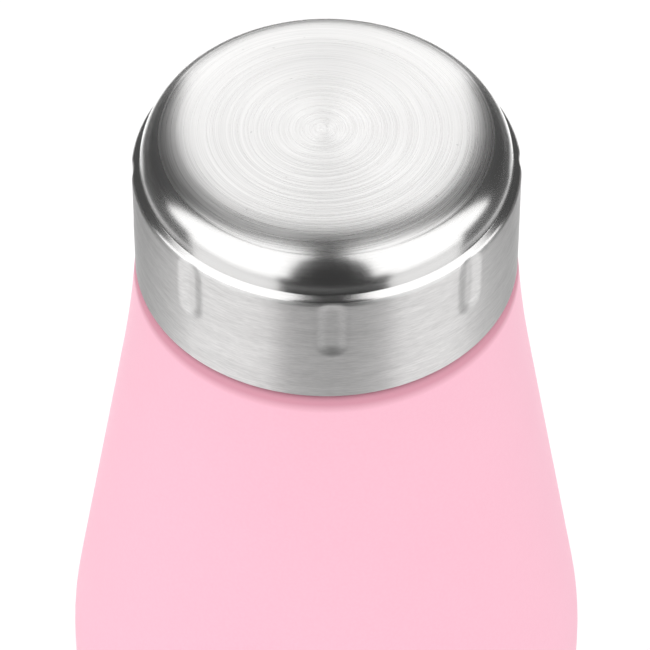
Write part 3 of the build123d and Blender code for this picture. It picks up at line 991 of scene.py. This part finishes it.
def backdrop(value):
    """Pale wall far round the bottle, seen by the camera only."""
    radius, foot, top, steps = 2.9, -0.001, 3.0, 96
    verts, faces = [], []
    for i in range(steps):
        a = TAU * i / steps
        verts += [(radius * math.sin(a), radius * math.cos(a), z) for z in (foot, top)]
        j = (i + 1) % steps
        faces.append((2 * i, 2 * j, 2 * j + 1, 2 * i + 1))
    glow("backdrop", verts, faces, value).visible_glossy = False


def softbox(name, azimuth, elevation, size, power):
    """Large soft light, aimed at the lid's foot, that lights matte surfaces only."""
    distance = 0.9
    away = outward(azimuth, elevation)
    data = bpy.data.lights.new(name, "AREA")
    data.shape = "RECTANGLE"
    data.size, data.size_y = size
    data.energy = power
    light = bpy.data.objects.new(name, data)
    light.location = STUDIO_MIDDLE + away * distance
    light.rotation_euler = away.to_track_quat("Z", "Y").to_euler()
    light.visible_glossy = False
    bpy.context.scene.collection.objects.link(light)


def matte_floor():
    """Wide floor, white round the bottle and pale grey farther out."""
    half = 3.0
    low = -0.05 * MM            # clear of the pad's standing ring
    corners = [(-half, -half, low), (half, -half, low), (half, half, low), (-half, half, low)]
    floor = new_object("floor", corners, [(0, 1, 2, 3)])
    material, tree, shader = new_material("floor")
    white_r, grey_r = 0.28, 0.75
    far = span(tree, turned_coordinates(tree)[0], white_r, grey_r, 0.0, 1.0)
    colour = mix_colour(tree, far, (0.9, 0.9, 0.9), (0.64, 0.64, 0.64))
    tree.links.new(colour, shader.inputs["Base Color"])
    shader.inputs["Roughness"].default_value = 0.8
    floor.data.materials.append(material)


def white_world():
    """Even white light from all round."""
    scene = bpy.context.scene
    scene.view_settings.view_transform = "Standard"
    scene.world = bpy.data.worlds.new("studio")
    scene.world.use_nodes = True
    background = scene.world.node_tree.nodes["Background"]
    background.inputs["Color"].default_value = (1, 1, 1, 1)
    background.inputs["Strength"].default_value = 1.1


def studio():
    """Light, floor and backdrop, with the bright and dark cards that the steel mirrors."""
    white_world()
    matte_floor()
    backdrop(0.72)
    softbox("softbox_left", -60, 40, (0.7, 0.9), 1.2)
    softbox("softbox_right", 60, 40, (0.7, 0.9), 0.7)
    patch("surround", (0, 360), (-4, 90), 2.2, 0.075)
    patch("front_wall", (-45, 50), (-4, 88), 1.8, 0.03)
    patch("back_card", (157, 203), (4, 58), 1.5, 1.5)
    patch("left_card", (-78, -20), (-6, 82), 1.5, 1.6)
    patch("left_wing", (-98, -78), (4, 82), 1.5, 1.6)
    patch("right_card", (25, 78), (-6, 82), 1.5, 1.6)
    patch("right_wing", (78, 102), (4, 82), 1.5, 1.6)
    patch("left_dark", (-126, -75), (-25, 3), 0.15, 0.14)
    patch("right_dark", (75, 126), (-25, 3), 0.15, 0.14)
    patch("front_dark", (-24, 32), (-33, 6), 0.15, 0.03)
    patch("front_floor", (-24, 36), (-72, -33), 0.15, 1.3)
    patch("back_dark", (96, 264), (-16, 2), 0.149, 0.11)
    patch("back_floor", (96, 264), (-72, -16), 0.151, 0.95)
    patch("rear_floor", (140, 220), (-72, -14), 0.148, 1.7)


def camera():
    """The camera, as far round, up and off as the photo shows."""
    away = outward(0, CAMERA_ELEVATION)
    sideways = outward(90, 0)
    data = bpy.data.cameras.new("camera")
    data.lens = CAMERA_LENS
    data.sensor_width = 36
    data.dof.use_dof = False
    obj = bpy.data.objects.new("camera", data)
    obj.location = STUDIO_MIDDLE + away * CAMERA_DISTANCE
    aim = STUDIO_MIDDLE - sideways * AIM_SIDE - Vector((0, 0, AIM_DROP))
    obj.rotation_euler = (obj.location - aim).to_track_quat("Z", "Y").to_euler()
    bpy.context.scene.collection.objects.link(obj)
    bpy.context.scene.camera = obj


camera()
coat = powder_coat()
plastic = moulded_plastic("white_plastic", (0.66, 0.66, 0.65))
spun_steel = brushed_steel("cover_steel", (0.64, 0.635, 0.63), 0.32, 0.7, 0.0, 0.2 * MM, 10 * MM, 0.10)
lid_cover()
lid_liner()
lid_inner_plate(spun_steel)
lid_gasket()
collar(plastic)
sealing_disc(plastic)
teat()
outer_shell(coat)
shell_base(coat)
inner_liner()
base_cover(spun_steel)
base_pad()
paint("lid_insulation", foam())
paint("copper_foil", copper_wrap())
paint("getter", getter_alloy())
paint("vacuum_seal", solder_glass())
studio()
